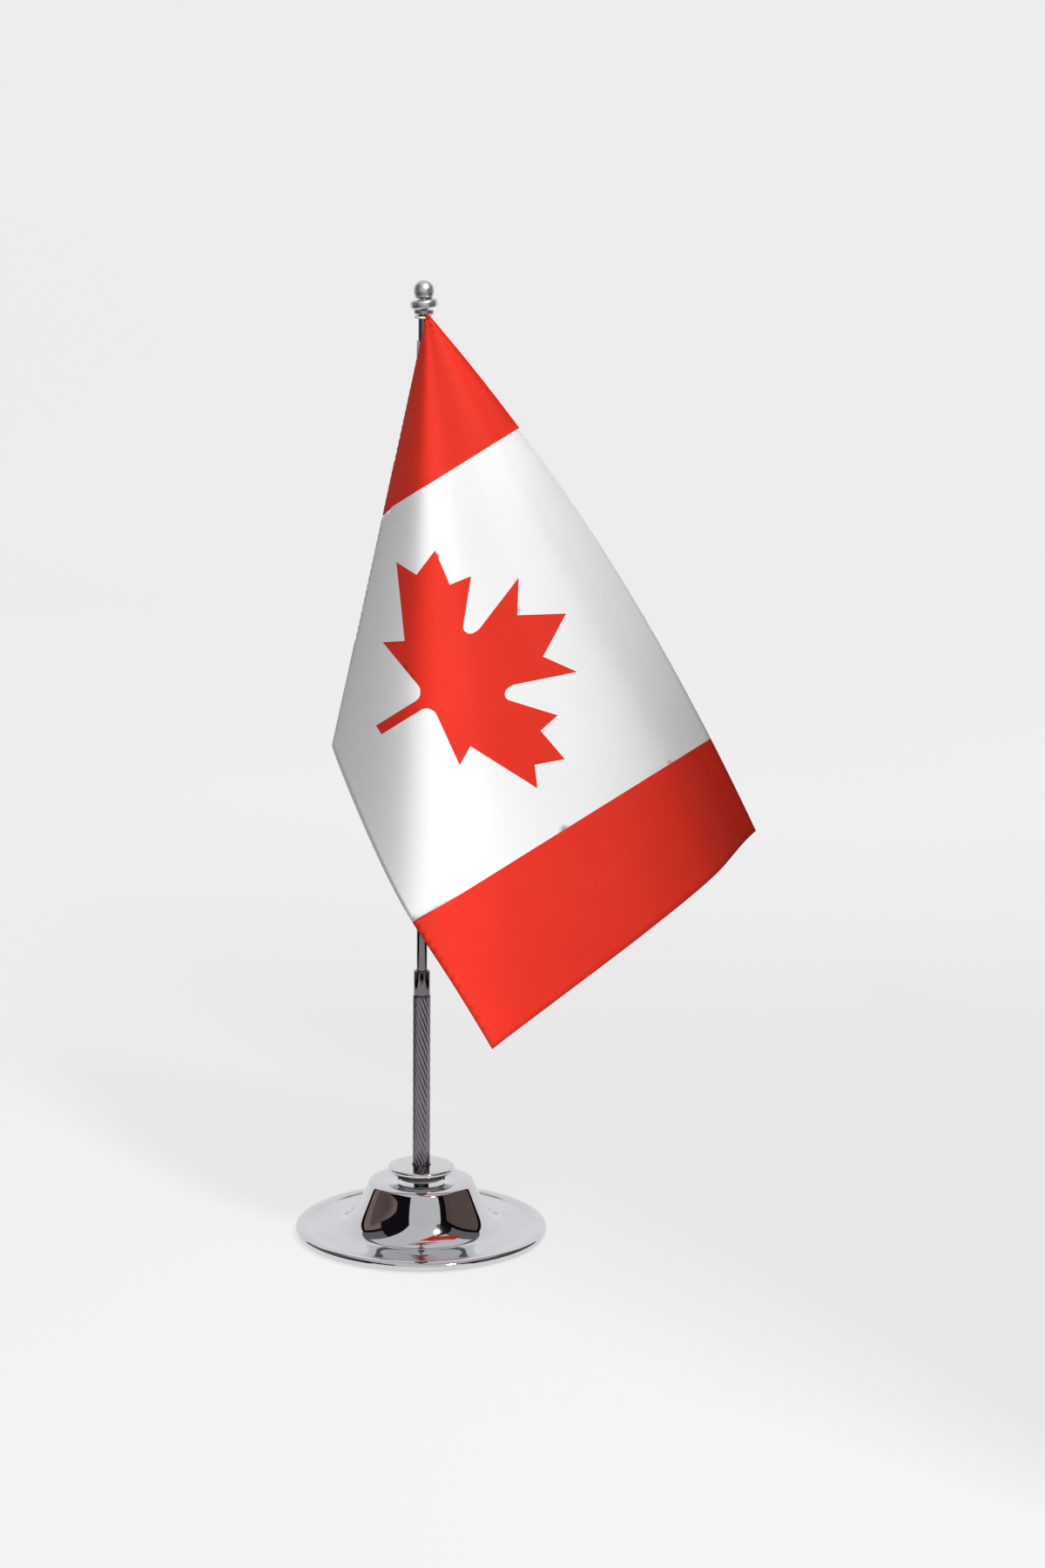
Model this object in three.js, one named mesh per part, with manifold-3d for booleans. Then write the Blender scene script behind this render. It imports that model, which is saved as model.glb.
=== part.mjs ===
// Desk flag stand: a weighted round base, a two-part telescopic mast and a draped cloth flag.
// Millimetres, +Z up. The origin is the centre of the underside, and the mast stands on the Z axis.
// The front of the flag faces -Y and its fly end hangs towards +X.

import * as THREE from "three";
import { mergeVertices } from "three/addons/utils/BufferGeometryUtils.js";
import Module from "manifold-3d";

const wasm = await Module();
wasm.setup();

// ---- Clearances ----
const seatGap = 0.3; // between pieces that rest on each other
const slideGap = 0.15; // radial, between pieces that slide or turn in each other

// ---- Base: a chromed pressing over an iron ballast ----
const baseRadius = 53;
const padThickness = 1.1;
const padStand = 0.2; // how far the pad holds the shell's lip off the table
const plateThickness = 0.8;
const plateInset = 2.6; // inside the shell's lower edge
const shellWall = 1.2;
const dishGap = 0.5; // between the plate and the lowest part of the flat ring
const dishFall = 0.7; // how much lower the flat ring lies at the rim's groove
const rimWidth = 6.2; // from the groove inside the rolled rim to its outer edge
const rimRise = 1.1; // crest of the rim above the groove
const rimCrown = 0.25;
const lipTuck = 0.7; // how far the shell's lip curls in under the rim
const bellFootRadius = 35;
const bellTopRadius = 18.5;
const bellRise = 19.7;
const ballastClearance = 0.8;
const ballastEdge = 1; // thickness of the iron at its outer edge
const counterboreGap = 2; // around the washer

// ---- Fasteners that hold the mast ----
const spigotGap = 0.35; // between the stud's reduced end and the lower tube
const spigotLength = 8.5;
const studShoulder = 0.4; // between the stud and its reduced end
const studLift = 2; // end of the stud above the base plate
const nutWall = 2;
const nutHeight = 5;
const springWasherHeight = 1.5;
const springWasherWidth = 1.9;
const springGap = 0.9;
const washerHeight = 1.2;
const washerWidth = 2.7;
const gasketHeight = 0.6;
const gasketInset = 1; // inside the socket's foot

// ---- Mast socket: the cup-shaped nut on top of the bell ----
const socketFootRadius = 10.5;
const socketRimRadius = 14;
const socketHeight = 4.8;
const socketSeatDepth = 2.4; // how deep the lower tube sits in it
const socketFlare = 1.2; // how far the rim band stands out from the body
const socketRound = 0.8;
const socketDish = 2; // width of the dished seat around the tube

// ---- Upper tube ----
const upperRadius = 2.2;
const upperWall = 0.55;
const upperLength = 294.2;
const stopSleeveLength = 5.2;
const endPlugHead = 0.8;
const endPlugLap = 0.2; // how far its head stands out from the tube
const endPlugSpigot = 6;

// ---- Lower tube and its ferrule ----
const lowerWall = 0.7; // to the crests of the spiral flutes
const lowerLength = 76.3;
const fluteCount = 14;
const fluteDepth = 0.3;
const fluteLead = 58; // height of one full turn of a flute
const fluteRow = 3; // height of one row of facets
const collarStep = 0.25; // inside the lower tube's crests
const collarHeight = 10.1;
const collarLip = 0.7;
const collarShoulder = 0.5;
const bushWall = 0.45;
const bushLength = 15.6;
const bushSlot = 0.8;

// ---- Top fittings ----
const headFlangeLap = 1.8; // how far the flange stands out from the upper tube
const headFlangeHeight = 1.4;
const headSpigotLength = 9;
const headScrewRadius = 0.95;
const headScrewLength = 6;
const finialNeckWall = 0.6;
const finialRadius = 4.13;
const finialHeight = 6.7; // of the dome alone
const finialUndercut = 0.4;
const ringRadius = 5.5;
const ringSlack = 0.9; // radial, round the finial's neck
const ringThickness = 3.4;
const ringTilt = THREE.MathUtils.degToRad(6.6);
const ringPlay = 0.2; // under the tilted ring's lowest edge
const domeGap = 0.35; // over the tilted ring's highest edge

// ---- Flag: a 5:3 cloth that hangs from its top corner and its hoist sleeve ----
const flagLength = 250;
const flagHoist = 150;
const clothThickness = 0.8;
const cornerSide = 1.2; // top of the hoist edge, to the side of the mast
const cornerStandoff = 1.45; // the hoist edge in front of its sleeve
const cornerDrop = 0.4; // below the top of the mast's flange
const sleeveStart = 12; // length of hoist edge left free above the sleeve
const sleeveWall = 0.6;
const finThickness = 0.8;
const tieRadius = 0.45;
const tieDrop = 0.8; // below the mast's flange
const tieSlack = 0.4; // of the loop at the mast's sides
const stopRingHeight = 1.8;
const stopRingWall = 1.55;

// The drape is a cone of straight folds that leave the top corner. Each point here is the way one fold
// runs, as its sideways (X) and forward (Y) step for each unit down. The first lies just past the top
// edge and the second is the top edge itself. The path bows forward across the front panel, turns back
// behind it at its left, makes one pleat there, and ends straight down at the mast.
const foldSlopes = [
  [0.88, 0.008],
  [0.747, 0.002],
  [0.625, -0.055],
  [0.515, -0.17],
  [0.345, -0.221],
  [0.14, -0.221],
  [-0.035, -0.221],
  [-0.213, 0.006],
  [-0.15, -0.012],
  [-0.04, -0.022],
  [0.085, -0.055],
  [0.16, -0.055],
  [0.17, -0.02],
  [0.085, -0.004],
  [0, 0],
];
const weaveShear = 0.031; // radians by which the hanging cloth's threads lean off square
const edgeDroop = 0.146; // radians by which the top edge bends down over the flag's length
const layerStep = 2.6; // how far the front panel's corner stands in front of the hoist edge
const cornerCut = 3; // the folded tip of the corner that the solid leaves out
const cornerTaper = 0.008; // half thickness for each unit of distance, where the folds meet

// ---- Sizes that follow ----
const upperBore = upperRadius - upperWall;
const slideBore = upperRadius + slideGap; // of what slides on the upper tube
const bushRadius = slideBore + bushWall;
const lowerBore = bushRadius + slideGap;
const lowerRadius = lowerBore + lowerWall;
const collarRadius = lowerRadius - collarStep;
const spigotRadius = lowerBore - spigotGap;
const studRadius = spigotRadius + studShoulder;
const studHole = studRadius + seatGap;
const washerRadius = studHole + washerWidth;

const lipHeight = padThickness - padStand;
const plateBottom = padThickness + seatGap;
const plateTop = plateBottom + plateThickness;
const plateRadius = baseRadius - lipTuck - shellWall - plateInset;
const grooveHeight = plateTop + dishGap + shellWall;
const dishHeight = grooveHeight + dishFall; // top of the flat ring at the foot of the bell
const bellTopHeight = dishHeight + bellRise;

const ballastBottom = plateTop + seatGap;
const studBottom = plateTop + studLift;
const nutBottom = studBottom + seatGap;
const nutTop = nutBottom + nutHeight;
const springBottom = nutTop + seatGap;
const springTop = springBottom + springWasherHeight;
const washerBottom = springTop + seatGap;
const washerTop = washerBottom + washerHeight;

const gasketBottom = bellTopHeight + seatGap;
const socketBottom = gasketBottom + gasketHeight + seatGap;
const socketTop = socketBottom + socketHeight;
const lowerBottom = socketTop - socketSeatDepth;
const lowerTop = lowerBottom + lowerLength;
const collarBottom = lowerTop + seatGap;
const collarTop = collarBottom + collarHeight;
const bushTop = collarTop - collarLip - seatGap;
const bushBottom = bushTop - bushLength;
const stopTop = bushBottom - seatGap;
const stopBottom = stopTop - stopSleeveLength;
const upperTop = stopBottom + upperLength;

const flangeBottom = upperTop + seatGap;
const flangeTop = flangeBottom + headFlangeHeight;
const screwHole = headScrewRadius + seatGap;
const finialNeckRadius = screwHole + finialNeckWall;
const ringBore = finialNeckRadius + ringSlack;
const ringReach = (ringThickness / 2) * Math.cos(ringTilt) + ringRadius * Math.sin(ringTilt);
const ringHeight = flangeTop + ringPlay + ringReach;
const finialDomeBase = ringHeight + ringReach + domeGap;

const sleeveRadius = slideBore + sleeveWall;
const flagCorner = new THREE.Vector3(
  cornerSide,
  -(sleeveRadius + cornerStandoff),
  flangeTop - cornerDrop,
);
const sleeveTop = flagCorner.z - sleeveStart;
const sleeveBottom = flagCorner.z - flagHoist;

// ---- Facets ----
const baseSides = 48;
const tubeSides = 28;
const smallSides = 24;
const cordSides = 8;
const cordSteps = 32;

const steel = new THREE.MeshStandardMaterial({ color: 0x9a9ca0, roughness: 0.35, metalness: 1 });
const chrome = new THREE.MeshStandardMaterial({ color: 0xd8d9dc, roughness: 0.06, metalness: 1 });
const iron = new THREE.MeshStandardMaterial({ color: 0x3c3d40, roughness: 0.8, metalness: 0.4 });
const brass = new THREE.MeshStandardMaterial({ color: 0xc8a860, roughness: 0.3, metalness: 1 });
const nylon = new THREE.MeshStandardMaterial({ color: 0xf0efe8, roughness: 0.55 });
const rubber = new THREE.MeshStandardMaterial({ color: 0x202022, roughness: 0.85 });
const felt = new THREE.MeshStandardMaterial({ color: 0x26382c, roughness: 1 });
const cloth = new THREE.MeshStandardMaterial({ color: 0xe8402f, roughness: 0.6 });
const heading = new THREE.MeshStandardMaterial({ color: 0xf4f4f2, roughness: 0.7 });
const thread = new THREE.MeshStandardMaterial({ color: 0xf4f4f2, roughness: 0.8 });

const group = new THREE.Group();

function add(name, geometry, material) {
  const mesh = new THREE.Mesh(geometry, material);
  mesh.name = name;
  group.add(mesh);
  return mesh;
}

// ---- Shape helpers ----

const at = (r, z) => new THREE.Vector2(r, z);

// A solid of revolution about Z. The profile is closed, or starts and ends on the axis.
function turned(profile, sides) {
  const closed = profile[0].x === 0 ? profile : [...profile, profile[0].clone()];
  if (THREE.ShapeUtils.area(closed) < 0) closed.reverse();
  return new THREE.LatheGeometry(closed, sides).rotateX(Math.PI / 2);
}

// A plain ring or washer between two radii and two heights.
function ring(inner, outer, bottom, top, sides) {
  return turned([at(inner, bottom), at(outer, bottom), at(outer, top), at(inner, top)], sides);
}

// A disc or rod on the axis.
function rod(radius, bottom, top, sides) {
  return turned([at(0, bottom), at(radius, bottom), at(radius, top), at(0, top)], sides);
}

// A closed XY outline, with its holes, raised between two heights.
function raised(outline, bottom, top, holes = []) {
  const shape = new THREE.Shape(outline);
  shape.holes = holes.map((points) => new THREE.Path(points));
  const upright = new THREE.ExtrudeGeometry(shape, { depth: top - bottom, bevelEnabled: false });
  return upright.translate(0, 0, bottom);
}

// The corners of a closed circle in XY.
function circle(radius, sides) {
  return arc(radius, 0, 2 * Math.PI, sides).slice(0, sides);
}

// Points of a circular arc in XY, with both its ends.
function arc(radius, from, to, count) {
  return Array.from({ length: count + 1 }, (_, i) => {
    const angle = from + ((to - from) * i) / count;
    return at(radius * Math.cos(angle), radius * Math.sin(angle));
  });
}

// A profile moved to its own inner side by a distance.
function offsetProfile(points, distance) {
  return points.map((point, i) => {
    const before = points[Math.max(i - 1, 0)];
    const after = points[Math.min(i + 1, points.length - 1)];
    const run = after.clone().sub(before).normalize();
    return at(point.x + run.y * distance, point.y - run.x * distance);
  });
}

function solidOf(geometry) {
  const loose = geometry.index ? geometry.toNonIndexed() : geometry;
  const bare = new THREE.BufferGeometry().setAttribute("position", loose.getAttribute("position"));
  const merged = mergeVertices(bare, 1e-3);
  return new wasm.Manifold(
    new wasm.Mesh({
      numProp: 3,
      vertProperties: merged.attributes.position.array,
      triVerts: new Uint32Array(merged.index.array),
    }),
  );
}

function geometryOf(solid) {
  const mesh = solid.getMesh();
  const made = new THREE.BufferGeometry()
    .setAttribute("position", new THREE.BufferAttribute(mesh.vertProperties, 3))
    .setIndex(new THREE.BufferAttribute(mesh.triVerts, 1));
  made.computeVertexNormals();
  return made;
}

// ---- Base ----

// Outer profile of the pressing, from the mast's hole out to the lip under the rim.
function shellProfile() {
  const groove = baseRadius - rimWidth;
  const crest = grooveHeight + rimRise;
  const run = bellFootRadius - bellTopRadius;
  const bell = new THREE.CubicBezierCurve(
    at(bellTopRadius + run * 0.2, bellTopHeight - bellRise * 0.06),
    at(bellTopRadius + run * 0.36, bellTopHeight - bellRise * 0.3),
    at(bellTopRadius + run * 0.5, dishHeight + bellRise * 0.16),
    at(bellFootRadius, dishHeight),
  );
  const rim = new THREE.CubicBezierCurve(
    at(groove, grooveHeight),
    at(baseRadius - rimWidth * 0.75, crest + rimCrown),
    at(baseRadius, crest + rimCrown),
    at(baseRadius, (crest + lipHeight) / 2),
  );
  return [
    at(studHole, bellTopHeight),
    at(bellTopRadius, bellTopHeight),
    ...bell.getPoints(6),
    ...rim.getPoints(4),
    at(baseRadius - lipTuck, lipHeight),
  ];
}

function baseShell() {
  const outer = shellProfile();
  return turned([...outer, ...offsetProfile(outer, shellWall).reverse()], baseSides);
}

// The iron fills the bell down to where the shell's inside comes close to the plate.
function ballastWeight() {
  const under = offsetProfile(shellProfile(), shellWall + ballastClearance);
  const edgeTop = ballastBottom + ballastEdge;
  const low = under.findIndex((point) => point.y < edgeTop);
  const share = (under[low - 1].y - edgeTop) / (under[low - 1].y - under[low].y);
  const edge = under[low - 1].clone().lerp(under[low], share);
  const counterbore = washerTop + seatGap;
  return turned(
    [
      ...under.slice(0, low),
      edge,
      at(edge.x, ballastBottom),
      at(washerRadius + counterboreGap, ballastBottom),
      at(washerRadius + counterboreGap, counterbore),
      at(studHole, counterbore),
    ],
    baseSides,
  );
}

add("felt_pad", rod(plateRadius, 0, padThickness, baseSides), felt);
add("base_plate", rod(plateRadius, plateBottom, plateTop, baseSides), steel);
add("ballast_weight", ballastWeight(), iron);
add("base_shell", baseShell(), chrome);

// ---- Fasteners ----

function mastStud() {
  return turned(
    [
      at(0, studBottom),
      at(studRadius, studBottom),
      at(studRadius, lowerBottom - seatGap),
      at(spigotRadius, lowerBottom - seatGap),
      at(spigotRadius, lowerBottom + spigotLength),
      at(0, lowerBottom + spigotLength),
    ],
    tubeSides,
  );
}

function hexNut() {
  const corner = (studRadius + nutWall) / Math.cos(Math.PI / 6);
  return raised(circle(corner, 6), nutBottom, nutTop, [circle(studHole, tubeSides)]);
}

// A ring split by a narrow gap, like a spring washer or a slotted bush.
function splitRing(inner, outer, bottom, top, gap, sides) {
  const open = (radius) => arc(radius, gap / 2 / radius, 2 * Math.PI - gap / 2 / radius, sides);
  const [inside, outside] = [open(inner), open(outer)];
  return raised([...outside, ...inside.reverse()], bottom, top);
}

add("mast_stud", mastStud(), steel);
add("stud_nut", hexNut(), steel);
const springRadius = studHole + springWasherWidth;
const gasketRadius = socketFootRadius - gasketInset;
add(
  "spring_washer",
  splitRing(studHole, springRadius, springBottom, springTop, springGap, smallSides),
  steel,
);
add("stud_washer", ring(studHole, washerRadius, washerBottom, washerTop, smallSides), steel);
add(
  "socket_gasket",
  ring(studHole, gasketRadius, gasketBottom, gasketBottom + gasketHeight, tubeSides),
  nylon,
);

// ---- Mast socket ----

function mastSocket() {
  const seat = lowerRadius + seatGap;
  return turned(
    [
      at(studHole, socketBottom),
      at(socketFootRadius, socketBottom),
      at(socketRimRadius - socketFlare, socketBottom + socketHeight * 0.45),
      at(socketRimRadius, socketBottom + socketHeight * 0.6),
      at(socketRimRadius, socketTop - socketRound),
      at(socketRimRadius - socketRound, socketTop - socketRound / 3),
      at(seat + socketDish, socketTop),
      at(seat, socketTop),
      at(seat, lowerBottom - seatGap),
      at(studHole, lowerBottom - seatGap),
    ],
    baseSides,
  );
}

add("mast_socket", mastSocket(), chrome);

// ---- Lower tube ----

// A tube whose outside is a ring of rounded flutes that climb it in a spiral.
function flutedTube() {
  const around = fluteCount * 2;
  const rows = Math.round(lowerLength / fluteRow);
  const outline = (z) =>
    Array.from({ length: around }, (_, i) => {
      const radius = i % 2 ? lowerRadius - fluteDepth : lowerRadius;
      const angle = (2 * Math.PI * i) / around - (2 * Math.PI * (z - lowerBottom)) / fluteLead;
      return [radius * Math.cos(angle), radius * Math.sin(angle), z];
    });
  const levels = Array.from({ length: rows + 1 }, (_, i) => lowerBottom + (lowerLength * i) / rows);
  const points = levels.flatMap(outline);
  const faces = [];
  for (let row = 0; row < rows; row++)
    for (let i = 0; i < around; i++) {
      const a = row * around + i;
      const b = row * around + ((i + 1) % around);
      faces.push(a, b, b + around, a, b + around, a + around);
    }
  const bottomCentre = points.push([0, 0, lowerBottom]) - 1;
  const topCentre = points.push([0, 0, lowerTop]) - 1;
  for (let i = 0; i < around; i++) {
    const next = (i + 1) % around;
    faces.push(bottomCentre, next, i, topCentre, rows * around + i, rows * around + next);
  }
  const bar = new THREE.BufferGeometry()
    .setAttribute("position", new THREE.Float32BufferAttribute(points.flat(), 3))
    .setIndex(faces);
  const bore = rod(lowerBore, lowerBottom - 1, lowerTop + 1, tubeSides);
  return geometryOf(solidOf(bar).subtract(solidOf(bore)));
}

function collar() {
  return turned(
    [
      at(lowerBore, collarBottom),
      at(collarRadius, collarBottom),
      at(collarRadius, collarTop - collarShoulder),
      at(collarRadius - collarShoulder, collarTop),
      at(slideBore, collarTop),
      at(slideBore, collarTop - collarLip),
      at(lowerBore, collarTop - collarLip),
    ],
    tubeSides,
  );
}

add("lower_tube", flutedTube(), chrome);
add("collar", collar(), chrome);
add(
  "guide_bush",
  splitRing(slideBore, bushRadius, bushBottom, bushTop, bushSlot, tubeSides),
  nylon,
);

// ---- Upper tube and its stop ----

function endPlug() {
  const top = stopBottom - seatGap;
  return turned(
    [
      at(0, top - endPlugHead),
      at(upperRadius + endPlugLap, top - endPlugHead),
      at(upperRadius + endPlugLap, top),
      at(upperBore - slideGap, top),
      at(upperBore - slideGap, top + endPlugSpigot),
      at(0, top + endPlugSpigot),
    ],
    smallSides,
  );
}

add("upper_tube", ring(upperBore, upperRadius, stopBottom, upperTop, tubeSides), chrome);
add("stop_sleeve", ring(slideBore, bushRadius, stopBottom, stopTop, tubeSides), brass);
add("end_plug", endPlug(), brass);

// ---- Top fittings ----

function headPlug() {
  const flangeRadius = upperRadius + headFlangeLap;
  return turned(
    [
      at(0, upperTop - headSpigotLength),
      at(upperBore - slideGap, upperTop - headSpigotLength),
      at(upperBore - slideGap, flangeBottom),
      at(flangeRadius, flangeBottom),
      at(flangeRadius, flangeTop),
      at(headScrewRadius, flangeTop),
      at(headScrewRadius, flangeTop + headScrewLength),
      at(0, flangeTop + headScrewLength),
    ],
    smallSides,
  );
}

function finial() {
  const dome = new THREE.CubicBezierCurve(
    at(finialRadius, finialDomeBase + finialHeight * 0.38),
    at(finialRadius, finialDomeBase + finialHeight * 0.72),
    at(finialRadius * 0.6, finialDomeBase + finialHeight),
    at(0, finialDomeBase + finialHeight),
  );
  const holeTop = flangeTop + headScrewLength + seatGap;
  return turned(
    [
      at(0, holeTop),
      at(screwHole, holeTop),
      at(screwHole, flangeTop + seatGap),
      at(finialNeckRadius, flangeTop + seatGap),
      at(finialNeckRadius, finialDomeBase - finialUndercut),
      at(finialRadius * 0.86, finialDomeBase),
      at(finialRadius * 0.97, finialDomeBase + finialHeight * 0.2),
      ...dome.getPoints(6),
    ],
    tubeSides,
  );
}

function hangerRing() {
  const half = ringThickness / 2;
  const bead = half * 0.8;
  return turned(
    [
      at(ringBore, -half),
      at(ringRadius - bead, -half),
      at(ringRadius - bead * 0.3, -half * 0.7),
      at(ringRadius, 0),
      at(ringRadius - bead * 0.3, half * 0.7),
      at(ringRadius - bead, half),
      at(ringBore, half),
    ],
    tubeSides,
  );
}

add("head_plug", headPlug(), steel);
add("finial", finial(), chrome);
const hanger = add("hanger_ring", hangerRing(), chrome);
hanger.position.z = ringHeight;
hanger.rotation.y = -ringTilt;

// ---- Flag ----

// The fold direction at a place along the slopes: a Catmull-Rom spline through them.
function foldDirection(place) {
  const last = foldSlopes.length - 1;
  const i = Math.min(Math.floor(place), last - 1);
  const f = place - i;
  const slope = (k, axis) => foldSlopes[Math.min(Math.max(k, 0), last)][axis];
  const blend = (axis) => {
    const [a, b, c, d] = [-1, 0, 1, 2].map((step) => slope(i + step, axis));
    return b + 0.5 * f * (c - a + f * (2 * a - 5 * b + 4 * c - d + f * (3 * (b - c) + d - a)));
  };
  return new THREE.Vector3(blend(0), blend(1), -1).normalize();
}

// The path's running angle at close steps along the slopes, measured from the top edge.
const foldSteps = 50; // for each slope
const foldPath = Array.from({ length: (foldSlopes.length - 1) * foldSteps + 1 }, (_, i) =>
  foldDirection(i / foldSteps),
);
const foldAngles = [0];
for (let i = 1; i < foldPath.length; i++)
  foldAngles.push(foldAngles[i - 1] + foldPath[i].angleTo(foldPath[i - 1]));
const topEdgeAngle = foldAngles[foldSteps];
const pathAngle = foldAngles[foldPath.length - 1] - topEdgeAngle;
const clothAngle = Math.PI / 2 - weaveShear; // between the cloth's top edge and its hoist edge

// The fold direction at an angle from the top edge.
function directionAt(angle) {
  const wanted = topEdgeAngle + (angle * pathAngle) / clothAngle;
  let i = 1;
  while (i < foldAngles.length - 1 && foldAngles[i] < wanted) i++;
  const f = (wanted - foldAngles[i - 1]) / (foldAngles[i] - foldAngles[i - 1]);
  return foldPath[i - 1].clone().lerp(foldPath[i], f).normalize();
}

// Where the draped cloth lies, at an angle from its top edge and a distance from its corner.
function drapePoint(angle, reach) {
  const droop = edgeDroop * (reach / flagLength - 0.5) * Math.max(1 - angle, 0);
  const forward = new THREE.Vector3(0, -layerStep * (1 - angle / clothAngle), 0);
  return directionAt(angle + droop).multiplyScalar(reach).add(flagCorner).add(forward);
}

// How far the cloth reaches from its corner: to the fly edge, or to the bottom edge.
function clothReach(angle) {
  const toFly = (flagLength * Math.cos(weaveShear)) / Math.cos(angle + weaveShear);
  const toBottom = (flagHoist * Math.cos(weaveShear)) / Math.sin(angle);
  return angle < flyCornerAngle ? toFly : toBottom;
}
const flyCornerAngle = Math.atan2(
  flagHoist * Math.cos(weaveShear),
  flagLength + flagHoist * Math.sin(weaveShear),
);

// A thin closed solid on the drape, with its grid lines along the folds.
function flagCloth() {
  const acrossFly = 10;
  const acrossBottom = 34;
  const along = 9;
  const angles = [
    ...Array.from({ length: acrossFly }, (_, i) => (flyCornerAngle * i) / acrossFly),
    ...Array.from(
      { length: acrossBottom + 1 },
      (_, i) => flyCornerAngle + ((clothAngle - flyCornerAngle) * i) / acrossBottom,
    ),
  ];
  const step = 1e-3;
  const side = (sign) =>
    angles.flatMap((angle) =>
      Array.from({ length: along + 1 }, (_, j) => {
        const reach = cornerCut + ((clothReach(angle) - cornerCut) * j) / along;
        const point = drapePoint(angle, reach);
        const across = drapePoint(angle + step, reach).sub(point);
        const outward = drapePoint(angle, reach + step).sub(point);
        const half = Math.min(clothThickness / 2, reach * cornerTaper);
        return point.addScaledVector(outward.cross(across).normalize(), sign * half).toArray();
      }),
    );
  const points = [...side(1), ...side(-1)];
  const columns = angles.length;
  const rows = along + 1;
  const back = columns * rows;
  const faces = [];
  const quad = (a, b, c, d) => faces.push(a, b, c, a, c, d);
  for (let i = 0; i < columns - 1; i++)
    for (let j = 0; j < along; j++) {
      const a = i * rows + j;
      quad(a, a + 1, a + rows + 1, a + rows);
      quad(a + back, a + rows + back, a + rows + 1 + back, a + 1 + back);
    }
  const rim = [
    ...Array.from({ length: columns }, (_, i) => i * rows),
    ...Array.from({ length: along }, (_, j) => (columns - 1) * rows + j + 1),
    ...Array.from({ length: columns - 1 }, (_, i) => (columns - 2 - i) * rows + along),
    ...Array.from({ length: along - 1 }, (_, j) => along - 1 - j),
  ];
  rim.forEach((a, i) => {
    const b = rim[(i + 1) % rim.length];
    quad(a, b, b + back, a + back);
  });
  return new THREE.BufferGeometry()
    .setAttribute("position", new THREE.Float32BufferAttribute(points.flat(), 3))
    .setIndex(faces);
}

// The cloth's heading: a tunnel round the mast with a stitched fin along the hoist edge.
function hoistSleeve() {
  const finFront = flagCorner.y + clothThickness / 2 + seatGap;
  const lean = Math.atan2(flagCorner.x, -flagCorner.y);
  const halfAngle = finThickness / 2 / sleeveRadius;
  const middle = -Math.PI / 2 + lean;
  const round = arc(
    sleeveRadius,
    middle + halfAngle,
    middle - halfAngle + 2 * Math.PI,
    smallSides,
  );
  const fin = [
    at(flagCorner.x - finThickness / 2, finFront),
    at(flagCorner.x + finThickness / 2, finFront),
  ];
  return raised([...round, ...fin], sleeveBottom, sleeveTop, [circle(slideBore, smallSides)]);
}

// The loop that ties the top corner to the mast.
function tieCord() {
  const behind = upperRadius + tieRadius + seatGap;
  const infront = flagCorner.y - layerStep + clothThickness / 2 + seatGap + tieRadius;
  const height = flangeBottom - tieDrop - tieRadius;
  const loop = new THREE.EllipseCurve(
    0,
    (behind + infront) / 2,
    behind + tieSlack,
    (behind - infront) / 2,
  );
  const bends = loop.getPoints(cordSteps).slice(0, cordSteps);
  const path = new THREE.CatmullRomCurve3(
    bends.map((p) => new THREE.Vector3(p.x, p.y, height)),
    true,
  );
  const section = new THREE.Shape(circle(tieRadius, cordSides));
  return new THREE.ExtrudeGeometry(section, {
    extrudePath: path,
    steps: cordSteps,
    bevelEnabled: false,
  });
}

add("flag_cloth", flagCloth(), cloth);
add("hoist_sleeve", hoistSleeve(), heading);
add("tie_cord", tieCord(), thread);
const stopRingTop = sleeveBottom - seatGap;
add(
  "sleeve_stop",
  ring(
    slideBore,
    slideBore + stopRingWall,
    stopRingTop - stopRingHeight,
    stopRingTop,
    smallSides,
  ),
  rubber,
);

export default group;
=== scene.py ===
"""Looks of the desk flag stand: chromed base and telescopic mast, and a satin flag draped from its corner."""

import math

import bpy
from mathutils import Matrix, Vector
from mathutils.geometry import delaunay_2d_cdt


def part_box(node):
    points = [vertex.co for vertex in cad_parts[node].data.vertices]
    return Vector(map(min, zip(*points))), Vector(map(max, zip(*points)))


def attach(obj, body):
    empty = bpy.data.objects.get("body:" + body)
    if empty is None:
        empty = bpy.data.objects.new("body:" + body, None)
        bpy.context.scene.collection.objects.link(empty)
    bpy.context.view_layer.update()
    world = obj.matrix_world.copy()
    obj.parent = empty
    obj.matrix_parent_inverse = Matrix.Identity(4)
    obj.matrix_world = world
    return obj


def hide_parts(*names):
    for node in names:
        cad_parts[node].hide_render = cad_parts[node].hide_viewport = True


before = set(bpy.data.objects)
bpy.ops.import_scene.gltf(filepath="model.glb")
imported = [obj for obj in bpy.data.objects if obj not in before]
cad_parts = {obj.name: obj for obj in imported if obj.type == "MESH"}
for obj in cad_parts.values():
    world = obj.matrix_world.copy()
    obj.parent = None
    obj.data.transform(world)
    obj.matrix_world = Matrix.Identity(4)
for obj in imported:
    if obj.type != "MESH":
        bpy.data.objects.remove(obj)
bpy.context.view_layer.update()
MM = 0.001
TURN = 2 * math.pi

FLAG_LENGTH = 250 * MM
FLAG_HOIST = 150 * MM
HEM_WIDTH = 4 * MM
THREADS_PER_METRE = 1400


# ---- Camera ----

CAMERA_PLACE = Vector((0, -1.5052, 0.5144))
CAMERA_PITCH = math.radians(12.01)  # below the horizon
CAMERA_YAW = math.radians(1.57)  # to the right of +Y
CAMERA_ROLL = math.radians(0.5)
CAMERA_LENS = 85.7


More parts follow.
